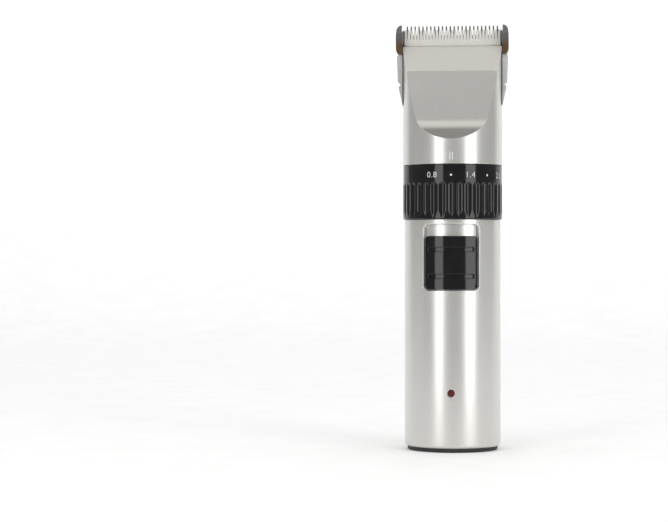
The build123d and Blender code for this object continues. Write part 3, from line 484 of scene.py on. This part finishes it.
def even_steps(points, step=2.5):
    """Edge points with more put in, so that no two lie further apart round the head than a step in degrees."""
    turns = [acos(max(-1.0, min(1.0, -p.x / HEAD_R))) for p in points]
    out = [points[0]]
    for a, b, turn_a, turn_b in zip(points, points[1:], turns, turns[1:]):
        count = max(1, int(abs(turn_b - turn_a) / radians(step)) + 1)
        for i in range(1, count):
            y = -HEAD_R * cos(turn_a + (turn_b - turn_a) * i / count)
            out.append(a.lerp(b, (y - a.x) / (b.x - a.x)))
        out.append(b)
    return out


def head_skin():
    """Outer skin of the head: columns round its sides, and strips over the scoop and over the slope behind."""
    front, middle, back = head_edge()
    front = even_steps(front)
    middle = even_steps([front[-1]] + middle)[1:]
    back = even_steps([middle[-1]] + back)[1:]
    edge = front + middle + back
    rows, strip = 26, 24
    low = HEAD_LOW.z
    bm = bmesh.new()

    def column(point, side):
        x = side * sqrt(max(HEAD_R ** 2 - point.x ** 2, 0))
        return [bm.verts.new((x, point.x, low + (point.y - low) * k / rows)) for k in range(rows + 1)]

    left = [column(p, -1) for p in edge]
    right = [column(p, 1) for p in edge]
    for columns, turn in ((left, False), (right, True)):
        for a, b in zip(columns, columns[1:]):
            for k in range(rows):
                quad = (a[k], b[k], b[k + 1], a[k + 1])
                bm.faces.new(quad if turn else quad[::-1])
    for first, last in ((0, len(front)), (len(front) + len(middle) - 1, len(edge))):
        strips = []
        for i in range(first, last):
            a, b = left[i][-1], right[i][-1]
            inner = [bm.verts.new(a.co.lerp(b.co, k / strip)) for k in range(1, strip)]
            strips.append([a] + inner + [b])
        for a, b in zip(strips, strips[1:]):
            for k in range(strip):
                bm.faces.new((a[k], a[k + 1], b[k + 1], b[k]))
    bmesh.ops.remove_doubles(bm, verts=bm.verts, dist=1e-6)
    bmesh.ops.dissolve_degenerate(bm, edges=bm.edges, dist=1e-7)
    bmesh.ops.recalc_face_normals(bm, faces=bm.faces)
    mesh = bpy.data.meshes.new("head")
    bm.to_mesh(mesh)
    bm.free()
    return mesh


def head():
    """Silver head: round skin, scooped face in front, slope behind, open under the blade."""
    piece = link("head", head_skin())
    wall = piece.modifiers.new("wall", "SOLIDIFY")
    wall.thickness = WALL
    wall.offset = -1
    wall.use_even_offset = False
    baked(piece)
    bevel_edges(piece, 0.22 * MM, 20, 3)
    fold_y, fold_z = CREASE

    def on_fold(a, b):
        return all(abs(v.y - fold_y) < 1e-6 and abs(v.z - fold_z) < 1e-6 for v in (a, b))

    soft_edges(piece.data, 40, on_fold)
    weigh_normals(piece)
    settle(piece, "casing", SILVER, "silver_paint", "head_shell")


barrel()
button()
head()


# ---------------------------------------------------------------- rules for what repeats
def maths(tree, operation, *values):
    """One sum in a node tree, from numbers or sockets."""
    node = tree.nodes.new("ShaderNodeMath")
    node.operation = operation
    for socket, value in zip(node.inputs, values):
        if isinstance(value, (int, float)):
            socket.default_value = value
        else:
            tree.links.new(value, socket)
    return node.outputs[0]


def new_rule(name, inputs):
    """Node tree with a mesh in and out and named inputs; gives back the tree and its entry."""
    tree = bpy.data.node_groups.new(name, "GeometryNodeTree")
    tree.interface.new_socket("Geometry", in_out="INPUT", socket_type="NodeSocketGeometry")
    for label, kind in inputs:
        tree.interface.new_socket(label, in_out="INPUT", socket_type=kind)
    tree.interface.new_socket("Geometry", in_out="OUTPUT", socket_type="NodeSocketGeometry")
    entry = tree.nodes.new("NodeGroupInput")
    return tree, entry


def close_rule(tree, entry, geometry):
    """Realized, finished geometry goes to the tree's output."""
    real = tree.nodes.new("GeometryNodeRealizeInstances")
    paint = tree.nodes.new("GeometryNodeSetMaterial")
    leave = tree.nodes.new("NodeGroupOutput")
    tree.links.new(geometry, real.inputs["Geometry"])
    tree.links.new(real.outputs["Geometry"], paint.inputs["Geometry"])
    tree.links.new(entry.outputs["Finish"], paint.inputs["Material"])
    tree.links.new(paint.outputs["Geometry"], leave.inputs["Geometry"])


def follow_rule(piece, tree, values):
    """Runs a rule on a piece with its named inputs set, and keeps the plain mesh."""
    rule = piece.modifiers.new(tree.name, "NODES")
    rule.node_group = tree
    for item in tree.interface.items_tree:
        if item.in_out == "INPUT" and item.name in values:
            rule[item.identifier] = values[item.name]
    return baked(piece)


def teeth_rule():
    """One tooth repeated on a pitch, centred across the blade."""
    tree, entry = new_rule("blade_teeth", (("Tooth", "NodeSocketObject"), ("Teeth", "NodeSocketInt"),
                                           ("Pitch", "NodeSocketFloat"), ("Finish", "NodeSocketMaterial")))
    first = maths(tree, "MULTIPLY", maths(tree, "SUBTRACT", entry.outputs["Teeth"], 1), entry.outputs["Pitch"])
    start = tree.nodes.new("ShaderNodeCombineXYZ")
    tree.links.new(maths(tree, "MULTIPLY", first, -0.5), start.inputs["X"])
    stride = tree.nodes.new("ShaderNodeCombineXYZ")
    tree.links.new(entry.outputs["Pitch"], stride.inputs["X"])
    row = tree.nodes.new("GeometryNodeMeshLine")
    tree.links.new(entry.outputs["Teeth"], row.inputs["Count"])
    tree.links.new(start.outputs["Vector"], row.inputs["Start Location"])
    tree.links.new(stride.outputs["Vector"], row.inputs["Offset"])
    tooth = tree.nodes.new("GeometryNodeObjectInfo")
    tree.links.new(entry.outputs["Tooth"], tooth.inputs["Object"])
    copies = tree.nodes.new("GeometryNodeInstanceOnPoints")
    tree.links.new(row.outputs["Mesh"], copies.inputs["Points"])
    tree.links.new(tooth.outputs["Geometry"], copies.inputs["Instance"])
    close_rule(tree, entry, copies.outputs["Instances"])
    return tree


def flute_rule():
    """Shallow finger flutes round a ring: round at the top, thinning out at the lower end."""
    named = ("Count", "Radius", "Half width", "Depth", "Low", "High", "Taper")
    inputs = [(label, "NodeSocketFloat") for label in named] + [("Finish", "NodeSocketMaterial")]
    tree, entry = new_rule("finger_flutes", inputs)
    get = entry.outputs
    place = tree.nodes.new("GeometryNodeInputPosition")
    parts = tree.nodes.new("ShaderNodeSeparateXYZ")
    tree.links.new(place.outputs["Position"], parts.inputs["Vector"])
    x, y, z = parts.outputs
    angle = maths(tree, "ARCTAN2", x, maths(tree, "MULTIPLY", y, -1))
    turns = maths(tree, "MULTIPLY", angle, maths(tree, "DIVIDE", get["Count"], 2 * pi))
    share = maths(tree, "SUBTRACT", maths(tree, "FRACT", maths(tree, "ADD", turns, 0.5)), 0.5)
    pitch = maths(tree, "DIVIDE", maths(tree, "MULTIPLY", get["Radius"], 2 * pi), get["Count"])
    across = maths(tree, "MULTIPLY", share, pitch)
    top = maths(tree, "SUBTRACT", get["High"], get["Half width"])
    above = maths(tree, "MAXIMUM", maths(tree, "SUBTRACT", z, top), 0)
    squares = maths(tree, "ADD", maths(tree, "MULTIPLY", across, across), maths(tree, "MULTIPLY", above, above))
    foot = maths(tree, "SUBTRACT", maths(tree, "ADD", get["Low"], get["Taper"]), z)
    below = maths(tree, "MULTIPLY", maths(tree, "MAXIMUM", foot, 0),
                  maths(tree, "DIVIDE", get["Half width"], get["Taper"]))
    far = maths(tree, "DIVIDE", maths(tree, "ADD", maths(tree, "SQRT", squares), below), get["Half width"])
    sink = maths(tree, "MAXIMUM", maths(tree, "SUBTRACT", 1, maths(tree, "MULTIPLY", far, far)), 0)
    sink = maths(tree, "MULTIPLY", sink, get["Depth"])
    ring = maths(tree, "ADD", maths(tree, "MULTIPLY", x, x), maths(tree, "MULTIPLY", y, y))
    ring = maths(tree, "SQRT", ring)
    outside = maths(tree, "GREATER_THAN", ring, maths(tree, "SUBTRACT", get["Radius"], get["Depth"]))
    sink = maths(tree, "DIVIDE", maths(tree, "MULTIPLY", maths(tree, "MULTIPLY", sink, outside), -1), ring)
    shift = tree.nodes.new("ShaderNodeCombineXYZ")
    tree.links.new(maths(tree, "MULTIPLY", x, sink), shift.inputs["X"])
    tree.links.new(maths(tree, "MULTIPLY", y, sink), shift.inputs["Y"])
    move = tree.nodes.new("GeometryNodeSetPosition")
    tree.links.new(get["Geometry"], move.inputs["Geometry"])
    tree.links.new(shift.outputs["Vector"], move.inputs["Offset"])
    close_rule(tree, entry, move.outputs["Geometry"])
    return tree


# ---------------------------------------------------------------- dial ring
FLUTES = 36
FLUTE_HALF = 1.15 * MM
GRIP_LOW = RING_LOW.z + 0.5 * MM
GRIP_HIGH = RING_LOW.z + 14.7 * MM


def ring_section():
    """Closed section of the dial ring as (r, z), from the lower bore edge outwards and up."""
    bore = RING_R - 2.4 * MM
    channel = bore + 1.35 * MM
    low, high = RING_LOW.z, RING_HIGH.z
    edge = 0.3 * MM
    points = [(bore, low)]
    points += [(RING_R - edge + edge * sin(a), low + edge - edge * cos(a))
               for a in (radians(t) for t in (0, 22.5, 45, 67.5, 90))]
    rows = [GRIP_LOW + 0.5 * MM * i for i in range(8)]
    rows += [GRIP_LOW + 5 * MM + 2 * MM * i for i in range(4)]
    rows += [GRIP_HIGH - 1.6 * MM + 0.2 * MM * i for i in range(10)]
    points += [(RING_R, z) for z in rows]
    points += [(RING_R - edge + edge * cos(a), high - edge + edge * sin(a))
               for a in (radians(t) for t in (0, 22.5, 45, 67.5, 90))]
    points += [(bore, high), (bore, high - 1.2 * MM), (channel, high - 1.2 * MM), (channel, high - 7.0 * MM),
               (bore, high - 7.0 * MM)]
    return points


def ring_angles():
    """Angles of the ring's columns, close together at the edges of each flute."""
    pitch = 2 * pi * RING_R / FLUTES
    near = (0, 0.45, 0.8, 1.04, 1.2)
    steps = [-pitch / 2] + [-n * MM for n in near[:0:-1]] + [n * MM for n in near]
    return [(i * pitch + s) / RING_R for i in range(FLUTES) for s in steps]


def dial_ring():
    """Glossy dial ring with finger flutes under a smooth band."""
    section, angles = ring_section(), ring_angles()
    rows, cols = len(section), len(angles)
    verts = [(r * sin(a), -r * cos(a), z) for a in angles for r, z in section]
    faces = []
    for i in range(cols):
        for j in range(rows):
            k, n = (i + 1) % cols, (j + 1) % rows
            faces.append((i * rows + j, k * rows + j, k * rows + n, i * rows + n))
    mesh = bpy.data.meshes.new("dial")
    mesh.from_pydata(verts, [], faces)
    piece = link("dial", mesh)
    values = {"Count": float(FLUTES), "Radius": RING_R, "Half width": FLUTE_HALF, "Depth": 0.42 * MM, "Low": GRIP_LOW,
              "High": GRIP_HIGH, "Taper": 2.6 * MM, "Finish": BLACK_GLOSS}
    follow_rule(piece, flute_rule(), values)
    soft_edges(piece.data, 60)
    settle(piece, "dial", BLACK_GLOSS, "black_gloss", "dial_ring")


def wrap_print(name, flat, radius, angle, z):
    """Flat printed shape laid on the outside of a round casing."""
    bm = bmesh.new()
    bm.from_mesh(flat)
    for v in bm.verts:
        a = angle + v.co.x / radius
        v.co = Vector((radius * sin(a), -radius * cos(a), z + v.co.y))
    mesh = bpy.data.meshes.new(name)
    bm.to_mesh(mesh)
    bm.free()
    return link(name, mesh)


def flat_text(words, height):
    """Mesh of a short number, centred, with digits of a height."""
    curve = bpy.data.curves.new("number", "FONT")
    curve.body = words
    curve.align_x = "CENTER"
    curve.align_y = "CENTER"
    curve.size = height / 0.7
    curve.space_character = 1.1
    curve.offset = -0.03 * MM
    holder = bpy.data.objects.new("number", curve)
    bpy.context.scene.collection.objects.link(holder)
    shown = holder.evaluated_get(bpy.context.evaluated_depsgraph_get())
    mesh = bpy.data.meshes.new_from_object(shown)
    bpy.data.objects.remove(holder)
    return mesh


def flat_shape(points):
    """Mesh of one flat polygon."""
    mesh = bpy.data.meshes.new("print")
    mesh.from_pydata([(x, y, 0) for x, y in points], [], [tuple(range(len(points)))])
    return mesh


def dial_numbers():
    """Printed lengths and dots between them on the dial's smooth band."""
    step = radians(22.5)
    z = RING_HIGH.z - 4.35 * MM
    dot = flat_shape([(0.42 * MM * cos(pi * i / 10), 0.42 * MM * sin(pi * i / 10)) for i in range(20)])
    prints = []
    for words, place in (("0.8", -1), ("1.4", 1), ("2.0", 3)):
        prints.append(wrap_print("print", flat_text(words, 2.3 * MM), RING_R + 0.03 * MM, place * step, z))
    for place in (0, 2):
        prints.append(wrap_print("print", dot, RING_R + 0.03 * MM, place * step, z))
    numbers = prints[0]
    join(numbers, *prints[1:])
    numbers.name = "dial_numbers"
    settle(numbers, "dial", PRINT_WHITE, "white_plastic")


def index_mark():
    """Two short raised lines on the head, over the dial's numbers."""
    mid = HEAD_LOW.z + 3.0 * MM
    lines = []
    for x in (-0.52 * MM, 0.52 * MM):
        outline = [(x + px, z) for px, z in rounded_outline(0.19 * MM, mid - 1.6 * MM, mid + 1.6 * MM, 0.17 * MM, 4)]
        lines.append(prism("line", outline, -HEAD_R - 0.1 * MM, -HEAD_R + 0.2 * MM))
    mark = lines[0]
    join(mark, lines[1])
    mark.name = "index_mark"
    settle(mark, "casing", PRINT_WHITE, "white_plastic")


# ---------------------------------------------------------------- blades
BLADE_FRAME = Matrix(((1, 0, 0, 0), (0, -sin(TILT), -cos(TILT), 0), (0, cos(TILT), -sin(TILT), BLADE_Z), (0, 0, 0, 1)))
COMB_TEETH = 24
COMB_PITCH = 1.585 * MM
CUTTER_TEETH = 31
CUTTER_PITCH = 1.26 * MM
# millimetres down from the ears' tops, and the share of the full thickness there
EAR_SHAPE = ((11.8, 0.66), (11.1, 0.82), (10.2, 0.97), (9.0, 1.0), (5.5, 1.0), (4.0, 0.98), (2.8, 0.94), (1.7, 0.88),
             (0.8, 0.82), (-0.1, 0.76))
EAR_CUTS = (11.1, 10.6, 10.2, 9.6, 9.0, 5.5, 4.7, 4.0, 3.4, 2.8, 2.2, 1.7, 1.2, 0.8, 0.4)
# teeth from root to tip, in millimetres: place along the blade, half width, outer face, inner face
COMB_TOOTH = ((4.3, 0.50, -1.08, -0.02), (4.6, 0.46, -1.04, -0.02), (6.5, 0.33, -0.78, -0.02),
              (8.2, 0.29, -0.55, -0.02), (8.62, 0.25, -0.48, -0.04), (8.8, 0.16, -0.42, -0.10),
              (8.88, 0.07, -0.34, -0.18))
CUTTER_TOOTH = ((3.5, 0.57, 0.07, 1.40), (3.8, 0.56, 0.07, 1.40), (5.6, 0.52, 0.07, 1.05), (6.7, 0.42, 0.07, 0.79),
                (7.25, 0.27, 0.10, 0.64), (7.48, 0.09, 0.18, 0.5))


def copy_node(name, node):
    """Own copy of a frame node's mesh, with doubles merged and flat faces cleared."""
    source = frame["nodes"][node]
    mesh = source.data.copy()
    mesh.transform(source.matrix_world)
    bm = bmesh.new()
    bm.from_mesh(mesh)
    bmesh.ops.remove_doubles(bm, verts=bm.verts, dist=2e-6)
    bmesh.ops.dissolve_limit(bm, angle_limit=radians(0.6), verts=bm.verts, edges=bm.edges)
    bmesh.ops.recalc_face_normals(bm, faces=bm.faces)
    bm.to_mesh(mesh)
    bm.free()
    return link(name, mesh)


def thin_ears(mesh):
    """Ears curve inwards to their tops and draw in a little at their lower ends."""
    inner = HEAD_R + 0.15 * MM
    shape = [(FRAME_HIGH.z - drop * MM, share) for drop, share in EAR_SHAPE]
    bm = bmesh.new()
    bm.from_mesh(mesh)
    for drop in EAR_CUTS:
        outer = {v for v in bm.verts if abs(v.co.x) > inner - 0.02 * MM}
        faces = [f for f in bm.faces if all(v in outer for v in f.verts)]
        geom = list({v for f in faces for v in f.verts}) + list({e for f in faces for e in f.edges}) + faces
        bmesh.ops.bisect_plane(bm, geom=geom, plane_co=(0, 0, FRAME_HIGH.z - drop * MM), plane_no=(0, 0, 1), dist=1e-7)
    for v in bm.verts:
        past = abs(v.co.x) - inner
        if past > 0:
            for (z0, share0), (z1, share1) in zip(shape, shape[1:]):
                if z0 <= v.co.z <= z1:
                    share = share0 + (share1 - share0) * (v.co.z - z0) / (z1 - z0)
                    v.co.x = (inner + past * share) * (1 if v.co.x > 0 else -1)
                    break
    bm.to_mesh(mesh)
    bm.free()


def soften(name, node, body, finish, slot, width, angle=28):
    """Rounded copy of a frame node."""
    piece = copy_node(name, node)
    if node == "blade_frame":
        thin_ears(piece.data)
    bevel_edges(piece, width, angle, 3)
    soft_edges(piece.data, 40)
    weigh_normals(piece)
    return settle(piece, body, finish, slot, node)


def tooth(name, stations):
    """Blade tooth from stations in millimetres, tip last."""
    verts, faces = [], []
    for station in stations:
        u, half, low, high = (v * MM for v in station)
        cut = min(0.12 * MM, half * 0.4, (high - low) * 0.3)
        verts += [(half, u, low + cut), (half, u, high - cut), (half - cut, u, high), (-half + cut, u, high),
                  (-half, u, high - cut), (-half, u, low + cut), (-half + cut, u, low), (half - cut, u, low)]
    count = len(stations)
    for i in range(count - 1):
        for j in range(8):
            k = (j + 1) % 8
            faces.append((8 * i + j, 8 * i + k, 8 * i + 8 + k, 8 * i + 8 + j))
    faces += [tuple(range(8)), tuple(range(8 * count - 1, 8 * count - 9, -1))]
    mesh = bpy.data.meshes.new(name)
    mesh.from_pydata(verts, [], faces)
    bm = bmesh.new()
    bm.from_mesh(mesh)
    bmesh.ops.recalc_face_normals(bm, faces=bm.faces)
    bm.to_mesh(mesh)
    bm.free()
    return link(name, mesh)


def blade(name, node, body, finish, slot, rule, shape, teeth, pitch, cut_half, cut_u):
    """Ground plate from the frame, with its row of teeth made one by one."""
    plate = copy_node(name, node)
    past_tips, past_faces = 20 * MM, 4 * MM
    outline = [(-cut_half, cut_u), (cut_half, cut_u), (cut_half, past_tips), (-cut_half, past_tips)]
    block = prism("block", outline, -past_faces, past_faces)
    block.data.transform(BLADE_FRAME @ Matrix(((1, 0, 0, 0), (0, 0, 1, 0), (0, -1, 0, 0), (0, 0, 0, 1))))
    carve(plate, [block])
    bevel_edges(plate, 0.09 * MM, 28, 2)
    one = tooth("tooth", shape)
    row = link("row", bpy.data.meshes.new("row"))
    follow_rule(row, rule, {"Tooth": one, "Teeth": teeth, "Pitch": pitch, "Finish": finish})
    row.data.transform(BLADE_FRAME)
    bpy.data.objects.remove(one)
    join(plate, row)
    soft_edges(plate.data, 35)
    weigh_normals(plate)
    settle(plate, body, finish, slot, node)


def blades():
    """Long slender comb teeth behind the short pale cutter teeth."""
    rule = teeth_rule()
    blade("comb", "comb_blade", "blade_block", COMB_STEEL, "comb_steel", rule, COMB_TOOTH, COMB_TEETH, COMB_PITCH,
          19.05 * MM, 4.5 * MM)
    blade("cutter", "cutter_blade", "cutter", CERAMIC, "cutter_ceramic", rule, CUTTER_TOOTH, CUTTER_TEETH,
          CUTTER_PITCH, 25 * MM, 3.7 * MM)


dial_ring()
dial_numbers()
index_mark()
blades()
soften("blade_housing", "blade_frame", "blade_block", SMOKED_PAINTED_REFLECTION, "smoke_gloss", 0.28 * MM)
soften("rail_left", "side_rail_left", "casing", GREY_SATIN, "grey_plastic", 0.22 * MM)
soften("rail_right", "side_rail_right", "casing", GREY_SATIN, "grey_plastic", 0.22 * MM)


# ---------------------------------------------------------------- room, light and camera
def room():
    """Pale floor that curves up into a pale backdrop."""
    profile = [(-0.26, 0), (1.0, 0)]
    bend = 0.6
    for i in range(1, 13):
        a = i / 12 * pi / 2
        profile.append((1.0 + bend * sin(a), bend - bend * cos(a)))
    profile.append((1.0 + bend, 2.4))
    verts = [(x, y, z) for y, z in profile for x in (-2.5, 2.5)]
    faces = [(2 * i, 2 * i + 1, 2 * i + 3, 2 * i + 2) for i in range(len(profile) - 1)]
    mesh = bpy.data.meshes.new("room")
    mesh.from_pydata(verts, [], faces)
    for face in mesh.polygons:
        face.use_smooth = True
    floor = bpy.data.objects.new("room", mesh)
    bpy.context.scene.collection.objects.link(floor)
    paper = finish_of("pale_paper", (0.93, 0.93, 0.93), (0.96, 0.96, 0.96), (0.7, 0.8), scale=40, bump=0.0)
    mesh.materials.append(paper)


def strip_light(name, angle, distance, width, height, power, mid=0.1):
    """Tall soft light, facing the trimmer from an angle measured from the front towards +X."""
    data = bpy.data.lights.new(name, "AREA")
    data.shape = "RECTANGLE"
    data.size = width
    data.size_y = height
    data.energy = power
    light = bpy.data.objects.new(name, data)
    light.location = (distance * sin(radians(angle)), -distance * cos(radians(angle)), mid)
    light.rotation_euler = (pi / 2, 0, radians(angle))
    bpy.context.scene.collection.objects.link(light)
    return light


def lights():
    """Two tall soft strips in front, a soft light overhead and one on the backdrop."""
    strip_light("left_strip", -30, 0.8, 0.27, 1.2, 2.5)
    strip_light("right_strip", 44, 0.8, 0.34, 1.2, 3.3)
    top = strip_light("top_light", 0, 0.42, 0.9, 0.42, 0.86, 0.9)
    top.rotation_euler = (radians(32), 0, 0)
    top.data.color = (1.0, 0.975, 0.90)
    back = strip_light("backdrop_light", 180, 0.2, 2.4, 0.8, 9.0, 1.9)
    back.rotation_euler = (radians(60), 0, 0)
    back.visible_glossy = False


def surroundings():
    """White room all round, greyer in reflections, with a darker ceiling."""
    world = bpy.data.worlds.new("studio")
    world.use_nodes = True
    nodes, links = world.node_tree.nodes, world.node_tree.links
    ground = nodes["Background"]
    ground.inputs["Color"].default_value = (1, 1, 1, 1)
    seen = nodes.new("ShaderNodeLightPath")
    level = nodes.new("ShaderNodeMapRange")
    level.inputs["To Min"].default_value = 1.0
    level.inputs["To Max"].default_value = 0.30
    links.new(seen.outputs["Is Glossy Ray"], level.inputs["Value"])
    aim = nodes.new("ShaderNodeTexCoord")
    parts = nodes.new("ShaderNodeSeparateXYZ")
    links.new(aim.outputs["Generated"], parts.inputs["Vector"])
    ceiling = nodes.new("ShaderNodeMapRange")
    ceiling.inputs["From Min"].default_value = 0.78
    ceiling.inputs["From Max"].default_value = 0.97
    ceiling.inputs["To Min"].default_value = 1.0
    ceiling.inputs["To Max"].default_value = 0.15
    links.new(parts.outputs["Z"], ceiling.inputs["Value"])
    total = nodes.new("ShaderNodeMath")
    total.operation = "MULTIPLY"
    links.new(level.outputs["Result"], total.inputs[0])
    links.new(ceiling.outputs["Result"], total.inputs[1])
    links.new(total.outputs["Value"], ground.inputs["Strength"])
    bpy.context.scene.world = world


def camera():
    """Level camera in front, a little to the right, with the trimmer right of the middle."""
    data = bpy.data.cameras.new("camera")
    data.lens = 106.7
    data.sensor_width = 36
    cam = bpy.data.objects.new("camera", data)
    cam.location = (25 * MM, -808 * MM, 76.5 * MM)
    cam.rotation_euler = (pi / 2, 0, radians(5.2))
    bpy.context.scene.collection.objects.link(cam)
    bpy.context.scene.camera = cam


room()
lights()
surroundings()
camera()
bpy.context.scene.view_settings.view_transform = "Standard"
